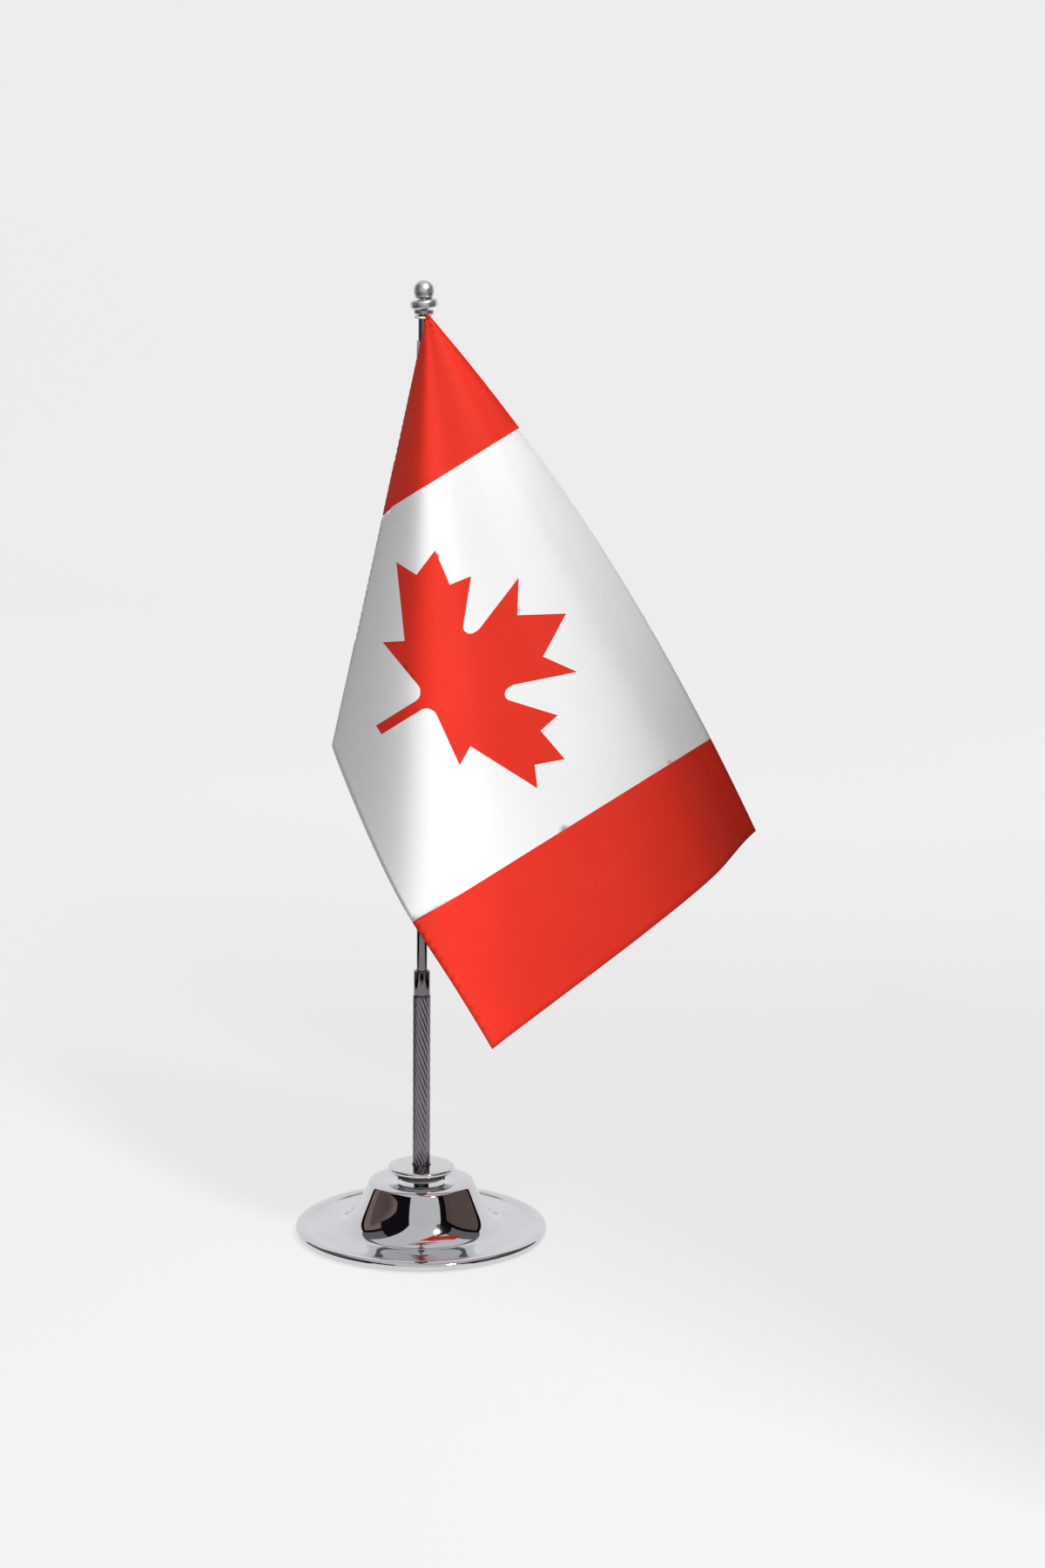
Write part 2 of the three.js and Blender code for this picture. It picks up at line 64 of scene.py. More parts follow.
def make_camera():
    data = bpy.data.cameras.new("camera")
    data.lens = CAMERA_LENS
    data.sensor_width = 36
    camera = bpy.data.objects.new("camera", data)
    bpy.context.scene.collection.objects.link(camera)
    turn = Matrix.Rotation(-CAMERA_YAW, 4, "Z") @ Matrix.Rotation(math.pi / 2 - CAMERA_PITCH, 4, "X")
    camera.matrix_world = Matrix.Translation(CAMERA_PLACE) @ turn @ Matrix.Rotation(CAMERA_ROLL, 4, "Z")
    bpy.context.scene.camera = camera
    return camera


camera = make_camera()


# ---- Material helpers ----


def new_material(name, **sockets):
    """A Principled material with these socket values."""
    material = bpy.data.materials.new(name)
    material.use_nodes = True
    shader = material.node_tree.nodes["Principled BSDF"]
    for socket, value in sockets.items():
        shader.inputs[socket.replace("_", " ")].default_value = value
    return material


def add_node(material, kind, **values):
    """A node of the material; values that name an input set it, and the others set a property."""
    node = material.node_tree.nodes.new(kind)
    for name, value in values.items():
        label = name.replace("_", " ")
        if label in node.inputs:
            node.inputs[label].default_value = value
        else:
            setattr(node, name, value)
    return node


def join(material, source, target):
    material.node_tree.links.new(source, target)


def shader_of(material):
    return material.node_tree.nodes["Principled BSDF"]


def noise(material, scale, detail, stretch=None):
    """Noise over the object's own coordinates, as a factor output."""
    place = add_node(material, "ShaderNodeTexCoord")
    mapping = add_node(material, "ShaderNodeMapping")
    if stretch:
        mapping.inputs["Scale"].default_value = stretch
    join(material, place.outputs["Object"], mapping.inputs["Vector"])
    texture = add_node(material, "ShaderNodeTexNoise", Scale=scale, Detail=detail)
    join(material, mapping.outputs["Vector"], texture.inputs["Vector"])
    return texture.outputs["Fac"]


def ramp(material, factor, stops):
    """A colour ramp; stops are (place, (r, g, b)) pairs."""
    node = add_node(material, "ShaderNodeValToRGB")
    elements = node.color_ramp.elements
    while len(elements) < len(stops):
        elements.new(0.5)
    for element, (place, colour) in zip(elements, stops):
        element.position = place
        element.color = (*colour, 1)
    join(material, factor, node.inputs["Fac"])
    return node.outputs["Color"]


def spread(material, factor, low, high):
    """The factor stretched to run from low to high."""
    node = add_node(material, "ShaderNodeMapRange")
    node.inputs["To Min"].default_value = low
    node.inputs["To Max"].default_value = high
    join(material, factor, node.inputs["Value"])
    return node.outputs["Result"]


def tint(material, pattern, dark, light, low=0.3):
    """Base colour that drifts from dark to light over a pattern."""
    join(material, ramp(material, pattern, [(low, dark), (0.7, light)]),
         shader_of(material).inputs["Base Color"])


def gloss(material, pattern, low, high):
    """Roughness that varies from low to high over a pattern."""
    join(material, spread(material, pattern, low, high), shader_of(material).inputs["Roughness"])


def bump(material, height, strength, distance):
    """Relief of the surface, as deep as distance in metres."""
    node = add_node(material, "ShaderNodeBump", Strength=strength, Distance=distance)
    join(material, height, node.inputs["Height"])
    join(material, node.outputs["Normal"], shader_of(material).inputs["Normal"])


def maths(material, operation, *values):
    """The output of a maths node; each value is a number or an output to join."""
    node = add_node(material, "ShaderNodeMath", operation=operation)
    for socket, value in zip(node.inputs, values):
        if isinstance(value, float):
            socket.default_value = value
        else:
            join(material, value, socket)
    return node.outputs[0]


# ---- Materials ----


def chrome_material(name, dark, light, rough=0.02):
    """Chrome plate: faint wiping haze in the gloss and a very slight waviness."""
    made = new_material(name, Metallic=1.0)
    tint(made, noise(made, 60, 5), dark, light)
    gloss(made, noise(made, 220, 6), rough, rough + 0.055)
    bump(made, noise(made, 90, 2), 0.05, 0.0002)
    return made


def steel_material():
    """Zinc plate with upright brushing."""
    made = new_material("zinc_plated_steel", Metallic=1.0)
    tint(made, noise(made, 300, 6), (0.42, 0.43, 0.45), (0.6, 0.6, 0.6))
    gloss(made, noise(made, 500, 4), 0.25, 0.45)
    bump(made, noise(made, 900, 3, stretch=(1, 1, 0.05)), 0.15, 0.0001)
    return made


def iron_material():
    """Rough grey casting."""
    made = new_material("cast_iron", Metallic=0.7)
    tint(made, noise(made, 250, 8), (0.05, 0.05, 0.055), (0.13, 0.125, 0.12))
    gloss(made, noise(made, 400, 4), 0.55, 0.8)
    bump(made, noise(made, 700, 8), 0.7, 0.0006)
    return made


def brass_material():
    """Brass with turning marks round the axis."""
    made = new_material("turned_brass", Metallic=1.0)
    tint(made, noise(made, 200, 5), (0.72, 0.5, 0.2), (0.83, 0.63, 0.32))
    gloss(made, noise(made, 300, 3), 0.2, 0.38)
    bump(made, noise(made, 1500, 2, stretch=(0.05, 0.05, 1)), 0.2, 0.0001)
    return made


def plastic_material(name, dark, light, rough):
    """Moulded plastic or rubber with a fine grain."""
    made = new_material(name)
    tint(made, noise(made, 500, 4), dark, light)
    gloss(made, noise(made, 700, 4), rough - 0.08, rough + 0.08)
    bump(made, noise(made, 1500, 5), 0.25, 0.0001)
    return made


def felt_material():
    """Dark green pressed felt."""
    made = new_material("green_felt", Roughness=1.0, Sheen_Weight=0.4)
    tint(made, noise(made, 900, 10), (0.012, 0.03, 0.02), (0.04, 0.075, 0.05), low=0.35)
    bump(made, noise(made, 2500, 10), 0.9, 0.0006)
    return made


def flat_axes(material):
    """The cloth's own flat coordinates, kept in its UV map, as two outputs."""
    place = add_node(material, "ShaderNodeUVMap", uv_map="flat")
    split = add_node(material, "ShaderNodeSeparateXYZ")
    join(material, place.outputs["UV"], split.inputs["Vector"])
    return split.outputs["X"], split.outputs["Y"]


def weave_height(material):
    """The height of a plain weave over the flat cloth."""
    waves = [maths(material, "SINE", maths(material, "MULTIPLY", axis, THREADS_PER_METRE * math.pi))
             for axis in flat_axes(material)]
    return maths(material, "MULTIPLY", *waves)


def hem_height(material):
    """1 on the turned hem along the flag's edges, 0 inside it."""
    past = []
    for axis, size in zip(flat_axes(material), (FLAG_LENGTH, FLAG_HOIST)):
        out = maths(material, "ABSOLUTE", maths(material, "SUBTRACT", axis, size / 2))
        past.append(maths(material, "GREATER_THAN", out, size / 2 - HEM_WIDTH))
    return maths(material, "MAXIMUM", *past)


def cloth_material(name, dark, light, hemmed=True):
    """Satin polyester: fine weave, soft sheen, and a little colour drift over the cloth."""
    made = new_material(name, Roughness=0.62, Sheen_Weight=0.05, Sheen_Roughness=0.45,
                        Specular_IOR_Level=0.15)
    tint(made, noise(made, 14, 3), dark, light)
    height = weave_height(made)
    if hemmed:
        height = maths(made, "MULTIPLY_ADD", hem_height(made), 0.6, height)
    bump(made, height, 0.25, 0.00012)
    return made


CHROME = chrome_material("polished_chrome", (0.66, 0.66, 0.69), (0.72, 0.72, 0.745))
# Chrome for the tubes, collar and upper tube with its colour painted dark: a painted dark reflection of the
# surroundings, much darker than the chrome plate's own colour.
TUBE_CHROME_PAINTED_DARK = chrome_material("tube_chrome_painted_dark_reflection", (0.17, 0.155, 0.17), (0.23, 0.21, 0.235))
SATIN_CHROME = chrome_material("satin_chrome", (0.68, 0.67, 0.69), (0.76, 0.75, 0.77), 0.32)
STEEL = steel_material()
IRON = iron_material()
BRASS = brass_material()
NYLON = plastic_material("white_nylon", (0.72, 0.71, 0.66), (0.82, 0.81, 0.77), 0.5)
RUBBER = plastic_material("black_rubber", (0.012, 0.012, 0.013), (0.03, 0.03, 0.032), 0.75)
FELT = felt_material()
RED_CLOTH = cloth_material("red_satin", (0.73, 0.026, 0.012), (0.81, 0.036, 0.017))
WHITE_CLOTH = cloth_material("white_satin", (0.86, 0.86, 0.86), (0.92, 0.92, 0.92))
HEADING = cloth_material("white_heading", (0.8, 0.8, 0.78), (0.88, 0.88, 0.86), hemmed=False)

CAD_MATERIALS = {
    "felt_pad": FELT,
    "base_plate": STEEL,
    "ballast_weight": IRON,
    "mast_stud": STEEL,
    "stud_nut": STEEL,
    "spring_washer": STEEL,
    "stud_washer": STEEL,
    "socket_gasket": NYLON,
    "guide_bush": NYLON,
    "stop_sleeve": BRASS,
    "end_plug": BRASS,
    "head_plug": STEEL,
}
for node, material in CAD_MATERIALS.items():
    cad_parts[node].data.materials.clear()
    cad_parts[node].data.materials.append(material)


# ---- Mesh helpers ----


def new_piece(name, points, faces, material, body, stands_for):
    """A mesh piece that rides on a body and stands for the CAD nodes named."""
    mesh = bpy.data.meshes.new(name)
    mesh.from_pydata(points, [], faces)
    mesh.validate()
    mesh.materials.append(material)
    mesh.shade_smooth()
    piece = bpy.data.objects.new(name, mesh)
    bpy.context.scene.collection.objects.link(piece)
    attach(piece, body)
    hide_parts(*stands_for)
    return piece


def rounded(corners, steps=6):
    """A closed (r, z) outline whose corners, given as (r, z, fillet radius), are rounded."""
    outline = []
    for i, (r, z, fillet) in enumerate(corners):
        here = Vector((r, z))
        if not fillet:
            outline.append(here)
            continue
        before = Vector(corners[i - 1][:2]) - here
        after = Vector(corners[(i + 1) % len(corners)][:2]) - here
        reach = min(fillet, before.length * 0.48, after.length * 0.48)
        start = here + before.normalized() * reach
        end = here + after.normalized() * reach
        for k in range(steps + 1):
            t = k / steps
            outline.append(start * (1 - t) ** 2 + here * 2 * t * (1 - t) + end * t * t)
    return outline


def bezier(a, b, c, d, steps):
    """Points of a cubic curve, both ends included."""
    a, b, c, d = map(Vector, (a, b, c, d))
    found = []
    for k in range(steps + 1):
        t = k / steps
        u = 1 - t
        found.append(a * u ** 3 + b * 3 * t * u * u + c * 3 * t * t * u + d * t ** 3)
    return found


def revolve(outline, sides, tilt=None):
    """Points and faces of a solid of revolution about Z. The outline closes on itself."""
    points, faces = [], []
    count = len(outline)
    for k in range(sides):
        angle = TURN * k / sides
        points += [Vector((p.x * math.cos(angle), p.x * math.sin(angle), p.y)) for p in outline]
    for k in range(sides):
        here, there = k * count, (k + 1) % sides * count
        for i in range(count):
            j = (i + 1) % count
            faces.append((here + i, there + i, there + j, here + j))
    if tilt:
        points = [tilt @ p for p in points]
    return points, faces


def turned(name, outline, sides, material, body, node, tilt=None):
    """A turned piece in metres. The outline runs anticlockwise in (r, z)."""
    area = sum(a.x * b.y - b.x * a.y for a, b in zip(outline, outline[1:] + outline[:1]))
    if area < 0:
        outline = outline[::-1]
    points, faces = revolve(outline, sides, tilt)
    return new_piece(name, points, faces, material, body, [node])


def radius_of(node):
    low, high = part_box(node)
    return (high.x - low.x) / 2


# ---- Base shell ----

SHELL_WALL = 1.2 * MM
RIM_WIDTH = 6.2 * MM
BELL_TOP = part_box("base_shell")[1].z
BELL_TOP_RADIUS = 18.5 * MM
BELL_FOOT_RADIUS = 35 * MM
DISH_HEIGHT = 4.6 * MM
DISH_FALL = 0.7 * MM
RIM_CREST = 5 * MM
BASE_RADIUS = radius_of("base_shell")
LIP_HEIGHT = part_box("base_shell")[0].z
STUD_HOLE = 3.3 * MM
LOWER_BORE = 2.95 * MM
UPPER_BORE = 1.65 * MM
COLLAR_BORE = 2.35 * MM
SLEEVE_INNER = 2.35 * MM


def shell_outline():
    """Outer face of the pressing from its centre hole to the lip, then back along the inner face."""
    groove = BASE_RADIUS - RIM_WIDTH
    crest = BASE_RADIUS - RIM_WIDTH * 0.55
    rise = BELL_TOP - DISH_HEIGHT
    run = BELL_FOOT_RADIUS - BELL_TOP_RADIUS
    shoulder = (BELL_TOP_RADIUS + run * 0.2, BELL_TOP - rise * 0.06)
    outer = [Vector((STUD_HOLE, BELL_TOP))]
    outer += bezier((BELL_TOP_RADIUS - 2 * MM, BELL_TOP), (BELL_TOP_RADIUS, BELL_TOP),
                    (BELL_TOP_RADIUS + run * 0.12, BELL_TOP - rise * 0.02), shoulder, 8)
    outer += bezier(shoulder, (BELL_TOP_RADIUS + run * 0.36, BELL_TOP - rise * 0.3),
                    (BELL_TOP_RADIUS + run * 0.5, DISH_HEIGHT + rise * 0.16),
                    (BELL_FOOT_RADIUS, DISH_HEIGHT), 28)[1:]
    outer += bezier((BELL_FOOT_RADIUS + 1 * MM, DISH_HEIGHT - 0.1 * MM),
                    (groove - 4 * MM, DISH_HEIGHT - DISH_FALL),
                    (groove - 2 * MM, DISH_HEIGHT - DISH_FALL),
                    (groove, DISH_HEIGHT - DISH_FALL), 8)
    outer += bezier((groove, DISH_HEIGHT - DISH_FALL),
                    (crest - RIM_WIDTH * 0.2, RIM_CREST + 0.3 * MM),
                    (BASE_RADIUS, RIM_CREST + 0.2 * MM),
                    (BASE_RADIUS, (RIM_CREST + LIP_HEIGHT) / 2), 20)[1:]
    outer += bezier((BASE_RADIUS, (RIM_CREST + LIP_HEIGHT) / 2),
                    (BASE_RADIUS, LIP_HEIGHT + 0.8 * MM), (BASE_RADIUS - 0.3 * MM, LIP_HEIGHT + 0.2 * MM),
                    (BASE_RADIUS - 0.7 * MM, LIP_HEIGHT), 6)[1:]
    inner = []
    for i, point in enumerate(outer):
        run_here = (outer[min(i + 1, len(outer) - 1)] - outer[max(i - 1, 0)]).normalized()
        inner.append(point + Vector((run_here.y, -run_here.x)) * SHELL_WALL)
    return outer + inner[::-1]


turned("base_shell_pressing", shell_outline(), 240, CHROME, "base", "base_shell")


# ---- Mast socket ----


def socket_outline():
    low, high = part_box("mast_socket")
    rim = radius_of("mast_socket")
    seat = 3.95 * MM
    floor = low.z + 2.1 * MM
    height = high.z - low.z
    return rounded([
        (STUD_HOLE, low.z, 0),
        (10.5 * MM, low.z, 0.5 * MM),
        (rim - 1.3 * MM, low.z + height * 0.45, 2 * MM),
        (rim, low.z + height * 0.58, 0.5 * MM),
        (rim, high.z - 0.75 * MM, 0.6 * MM),
        (rim - 0.9 * MM, high.z - 0.25 * MM, 0.6 * MM),
        (seat + 2 * MM, high.z, 1 * MM),
        (seat, high.z, 0.3 * MM),
        (seat, floor, 0),
        (STUD_HOLE, floor, 0),
    ])


turned("mast_socket_cup", socket_outline(), 128, CHROME, "base", "mast_socket")


# ---- Mast tubes ----

FLUTES = 14
FLUTE_DEPTH = 0.26 * MM
FLUTE_LEAD = 58 * MM


def fluted_tube():
    """The lower tube: shallow rounded flutes that climb it in a spiral, round ends and a smooth bore."""
    low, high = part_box("lower_tube")
    outer = radius_of("lower_tube")
    around = FLUTES * 10
    rows = 96
    end = 0.5 * MM
    levels = [low.z, low.z + end / 2, low.z + end]
    levels += [low.z + end + (high.z - low.z - 2 * end) * k / rows for k in range(1, rows)]
    levels += [high.z - end, high.z - end / 2, high.z]
    rings = []
    for z in levels:
        inset = max(0, 1 - min(z - low.z, high.z - z) / end) ** 2 * 0.35 * MM
        ring = []
        for i in range(around):
            angle = TURN * i / around
            wave = abs(math.sin(angle * FLUTES / 2))
            radius = outer - FLUTE_DEPTH * (1 - wave) - inset
            twist = angle - TURN * (z - low.z) / FLUTE_LEAD
            ring.append((radius * math.cos(twist), radius * math.sin(twist), z))
        rings.append(ring)
    bore_rows = 24
    for k in range(bore_rows + 1):
        rise = (high.z - low.z) * (1 - k / bore_rows)
        ring = []
        for i in range(around):
            twist = TURN * i / around - TURN * rise / FLUTE_LEAD
            ring.append((LOWER_BORE * math.cos(twist), LOWER_BORE * math.sin(twist), low.z + rise))
        rings.append(ring)
    points = [p for ring in rings for p in ring]
    faces = []
    for row in range(len(rings)):
        above = (row + 1) % len(rings)
        for i in range(around):
            j = (i + 1) % around
            faces.append((row * around + i, row * around + j, above * around + j, above * around + i))
    return new_piece("lower_tube_fluted", points, faces, TUBE_CHROME_PAINTED_DARK, "base", ["lower_tube"])


fluted_tube()


def collar_outline():
    low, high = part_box("collar")
    outer = radius_of("collar")
    lip = high.z - 0.7 * MM
    return rounded([
        (LOWER_BORE, low.z, 0),
        (outer, low.z, 0.35 * MM),
        (outer, high.z, 1.1 * MM),
        (COLLAR_BORE, high.z, 0.15 * MM),
        (COLLAR_BORE, lip, 0),
        (LOWER_BORE, lip, 0),
    ])


turned("collar_ferrule", collar_outline(), 96, TUBE_CHROME_PAINTED_DARK, "base", "collar")


def tube_outline(node, bore, fillet):
    low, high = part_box(node)
    outer = radius_of(node)
    return rounded([
        (bore, low.z, 0),
        (outer, low.z, fillet),
        (outer, high.z, fillet),
        (bore, high.z, 0),
    ])


turned("upper_tube_drawn", tube_outline("upper_tube", UPPER_BORE, 0.25 * MM), 96, TUBE_CHROME_PAINTED_DARK,
       "mast", "upper_tube")
turned("sleeve_stop_ring", tube_outline("sleeve_stop", SLEEVE_INNER, 0.8 * MM), 64, RUBBER,
       "mast", "sleeve_stop")


# ---- Finial and ring ----

NECK_RADIUS = 1.85 * MM
DOME_BASE = 393.6 * MM
DOME_HEIGHT = 6.7 * MM


def finial_outline():
    low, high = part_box("finial")
    dome = radius_of("finial")
    hole = 1.25 * MM
    hole_top = low.z + 6 * MM
    outline = rounded([
        (hole, low.z, 0),
        (NECK_RADIUS, low.z, 0.2 * MM),
        (NECK_RADIUS, DOME_BASE - 0.3 * MM, 0.3 * MM),
        (dome * 0.84, DOME_BASE, 0.5 * MM),
    ])
    outline += bezier((dome * 0.93, DOME_BASE + DOME_HEIGHT * 0.1),
                      (dome, DOME_BASE + DOME_HEIGHT * 0.26),
                      (dome, DOME_BASE + DOME_HEIGHT * 0.32),
                      (dome, DOME_BASE + DOME_HEIGHT * 0.4), 6)
    outline += bezier((dome, DOME_BASE + DOME_HEIGHT * 0.4),
                      (dome, DOME_BASE + DOME_HEIGHT * 0.74),
                      (dome * 0.6, high.z),
                      (0.02 * MM, high.z), 16)[1:]
    return outline + [Vector((0.02 * MM, hole_top)), Vector((hole, hole_top))]


turned("finial_cap", finial_outline(), 96, SATIN_CHROME, "mast", "finial")

RING_MIDDLE = 390.9 * MM
RING_TILT = math.radians(6.6)
RING_HALF = 1.7 * MM
RING_RADIUS = 5.5 * MM
RING_BORE = 2.75 * MM


def ring_outline():
    return rounded([
        (RING_BORE, -RING_HALF, 0.3 * MM),
        (RING_RADIUS, -RING_HALF, 1.5 * MM),
        (RING_RADIUS, RING_HALF, 1.5 * MM),
        (RING_BORE, RING_HALF, 0.3 * MM),
    ], 10)


turned("hanger_ring_bead", ring_outline(), 96, SATIN_CHROME, "ring", "hanger_ring",
       Matrix.Translation((0, 0, RING_MIDDLE)) @ Matrix.Rotation(-RING_TILT, 4, "Y"))


# ---- Flag: the drape ----

FLAG_CORNER = Vector((1.2 * MM, -4.4 * MM, 388 * MM))
LAYER_STEP = 2.6 * MM
WEAVE_SHEAR = 0.031
EDGE_DROOP = 0.146
CLOTH_THICKNESS = 0.3 * MM
# The way each fold runs from the corner: steps to the side and forward for each unit down.
FOLD_SLOPES = [
    (0.88, 0.008), (0.747, 0.002), (0.625, -0.055), (0.515, -0.17), (0.345, -0.221),
    (0.14, -0.221), (-0.035, -0.221), (-0.213, 0.006), (-0.15, -0.012), (-0.04, -0.022),
    (0.085, -0.055), (0.16, -0.055), (0.17, -0.02), (0.085, -0.004), (0, 0),
]
FOLD_STEPS = 50


def fold_direction(place):
    """The fold's direction at a place along the slopes: a Catmull-Rom spline through them."""
    last = len(FOLD_SLOPES) - 1
    i = min(int(place), last - 1)
    f = place - i
    a, b, c, d = (Vector(FOLD_SLOPES[min(max(i + k, 0), last)]) for k in (-1, 0, 1, 2))
    slope = b + 0.5 * f * (c - a + f * (2 * a - 5 * b + 4 * c - d + f * (3 * (b - c) + d - a)))
    return Vector((slope.x, slope.y, -1)).normalized()


FOLD_PATH = [fold_direction(k / FOLD_STEPS) for k in range((len(FOLD_SLOPES) - 1) * FOLD_STEPS + 1)]
FOLD_ANGLES = [0.0]
for before, after in zip(FOLD_PATH, FOLD_PATH[1:]):
    FOLD_ANGLES.append(FOLD_ANGLES[-1] + before.angle(after))
TOP_EDGE = FOLD_ANGLES[FOLD_STEPS]
CLOTH_ANGLE = math.pi / 2 - WEAVE_SHEAR
ANGLE_SCALE = (FOLD_ANGLES[-1] - TOP_EDGE) / CLOTH_ANGLE


def direction_at(angle):
    """The fold's direction at an angle from the top edge."""
    wanted = TOP_EDGE + angle * ANGLE_SCALE
    low, high = 0, len(FOLD_ANGLES) - 1
    while high - low > 1:
        middle = (low + high) // 2
        if FOLD_ANGLES[middle] < wanted:
            low = middle
        else:
            high = middle
    f = (wanted - FOLD_ANGLES[low]) / (FOLD_ANGLES[high] - FOLD_ANGLES[low])
    return FOLD_PATH[low].lerp(FOLD_PATH[high], f).normalized()


def drape(s, t):
    """Where a point of the flat cloth lies, s along its length and t down its hoist."""
    along = s + t * math.sin(WEAVE_SHEAR)
    down = t * math.cos(WEAVE_SHEAR)
    reach = math.hypot(along, down)
    angle = math.atan2(down, along)
    droop = EDGE_DROOP * (reach / FLAG_LENGTH - 0.5) * max(1 - angle, 0)
    forward = Vector((0, -LAYER_STEP * (1 - angle / CLOTH_ANGLE), 0))
    return FLAG_CORNER + forward + direction_at(angle + droop) * reach


# ---- Flag: the cloth ----

BAND_ONE = 61.5 * MM  # end of the red band at the hoist
BAND_TWO = 208 * MM  # start of the red band at the fly
FOLD_LINES = 160
REACH_STEP = 3 * MM
INNER_EVERY = 4  # only every fourth fold line starts at the corner
INNER_STEPS = 6  # the others start this many steps out
LEAST_FACE = 1e-3 * MM * MM
LEAF_AXIS = (BAND_ONE + BAND_TWO) / 2
LEAF_MIDDLE = FLAG_HOIST / 2
# Half of an eleven-pointed leaf: millimetres out from its axis, down from its middle, and corner round.
LEAF_HALF = [
    (0, -46.3, 0), (9.8, -29, 0), (22.3, -37.6, 0), (12.8, -11.8, 2), (13.4, -8, 2), (16.4, -6.8, 2),
    (32.9, -21.4, 0), (34.5, -12.1, 0), (49.4, -14.4, 0), (44.9, -2.7, 0), (53.5, 1.5, 0),
    (24.9, 15.7, 0), (29.1, 23.6, 0), (5.2, 20.4, 2), (2.1, 23, 2), (2.1, 44, 0),
]


# The print sits square in the front view: the way its length runs there, and its size and rise.
PRINT_SLOPE = math.radians(58.1)
PRINT_LENGTHEN = 1.005
PRINT_WIDEN = 1.026
PRINT_START = 2.6 * MM
PRINT_RISE = 11.9 * MM


def printed(s, t):
    """The artwork's own coordinates at a point of the flat cloth."""
    to_view = camera.matrix_world.inverted()
    corner = to_view @ drape(0, 0)
    point = to_view @ drape(s, t)
    point *= corner.z / point.z
    x, y = point.x - corner.x, corner.y - point.y
    along = x * math.cos(PRINT_SLOPE) + y * math.sin(PRINT_SLOPE)
    across = y * math.cos(PRINT_SLOPE) - x * math.sin(PRINT_SLOPE)
    return along * PRINT_LENGTHEN + PRINT_START, across * PRINT_WIDEN + PRINT_RISE


def cloth_place(along, across):
    """The point of the flat cloth that carries a point of the artwork."""
    s, t = along, across
    for _ in range(30):
        here = printed(s, t)
        s += (along - here[0]) * 0.7
        t += (across - here[1]) * 0.7
    return s, t


def leaf_outline():
    """The leaf on the flat cloth, with each of its edges in short steps."""
    half = [(x * MM, LEAF_MIDDLE + y * MM, fillet * MM) for x, y, fillet in LEAF_HALF]
    corners = rounded(half + [(-x, y, fillet) for x, y, fillet in half[:0:-1]], 4)
    steps = 4
    outline = []
    for (ax, ay), (bx, by) in zip(corners, corners[1:] + corners[:1]):
        for k in range(steps):
            across = LEAF_AXIS + ax + (bx - ax) * k / steps
            outline.append(cloth_place(across, ay + (by - ay) * k / steps))
    return outline


def band_line(along, seen_to):
    """A band's edge from the top of the cloth to its bottom, straight on where it turns out of view."""
    steps = 14
    line = [cloth_place(along, seen_to * k / steps) for k in range(steps + 1)]
    (ax, ay), (bx, by) = line[0], line[-1]
    lean = (bx - ax) / (by - ay)
    line[0] = (ax - ay * lean, 0)
    line.append((bx + (FLAG_HOIST - by) * lean, FLAG_HOIST))
    return line


def inside(point, outline):
    """True if the flat point lies inside the outline."""
    x, y = point
    found = False
    for (ax, ay), (bx, by) in zip(outline, outline[1:] + outline[:1]):
        if (ay > y) != (by > y) and x < ax + (y - ay) * (bx - ax) / (by - ay):
            found = not found
    return found


def flat_cloth():
    """Points and faces of the flat cloth, with the print's outlines among its edges, and those outlines."""
    points = [Vector((0, 0)), Vector((FLAG_LENGTH, FLAG_HOIST))]
    for i in range(FOLD_LINES + 1):
        angle = CLOTH_ANGLE * i / FOLD_LINES
        run = Vector((math.cos(angle) - math.sin(angle) * math.tan(WEAVE_SHEAR),
                      math.sin(angle) / math.cos(WEAVE_SHEAR)))
        end = min(FLAG_LENGTH / run.x if run.x > 1e-6 else 1, FLAG_HOIST / run.y if run.y > 1e-6 else 1)
        steps = math.ceil(end / REACH_STEP)
        first = 1 if i % INNER_EVERY == 0 else INNER_STEPS
        points += [run * (end * k / steps) for k in range(first, steps + 1)]
    edges = []
    leaf = leaf_outline()
    one = band_line(BAND_ONE, 66 * MM)
    two = band_line(BAND_TWO, 125 * MM)
    for line, closed in ((one, False), (two, False), (leaf, True)):
        start = len(points)
        points += [Vector(p) for p in line]
        edges += [(start + k, start + k + 1) for k in range(len(line) - 1)]
        if closed:
            edges.append((start + len(line) - 1, start))
    made = delaunay_2d_cdt(points, edges, [], 0, 1e-6)
    flat = [tuple(p) for p in made[0]]
    faces = []
    for a, b, c in made[2]:
        (ax, ay), (bx, by), (cx, cy) = flat[a], flat[b], flat[c]
        if abs((bx - ax) * (cy - ay) - (cx - ax) * (by - ay)) > LEAST_FACE:
            faces.append((a, b, c))
    return flat, faces, one + two[::-1], leaf


def draped_flag():
    flat, faces, between, leaf = flat_cloth()
    mesh = bpy.data.meshes.new("flag_satin")
    mesh.from_pydata([drape(s, t) for s, t in flat], [], faces)
    mesh.materials.append(RED_CLOTH)
    mesh.materials.append(WHITE_CLOTH)
    layer = mesh.uv_layers.new(name="flat")
    for face in mesh.polygons:
        corners = [flat[v] for v in face.vertices]
        middle = [sum(c[k] for c in corners) / len(corners) for k in (0, 1)]
        white = inside(middle, between) and not inside(middle, leaf)
        face.material_index = 1 if white else 0
        for loop in face.loop_indices:
            layer.data[loop].uv = flat[mesh.loops[loop].vertex_index]
    mesh.shade_smooth()
    piece = bpy.data.objects.new("flag_satin", mesh)
    bpy.context.scene.collection.objects.link(piece)
    solid = piece.modifiers.new("thickness", "SOLIDIFY")
    solid.thickness = CLOTH_THICKNESS
    solid.offset = 0
    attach(piece, "flag")
    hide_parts("flag_cloth")
    return piece


flag = draped_flag()


# ---- Hoist sleeve and tie ----

SLEEVE_WALL = 0.6 * MM
FIN_X = 1.2 * MM
FIN_HALF = 0.3 * MM


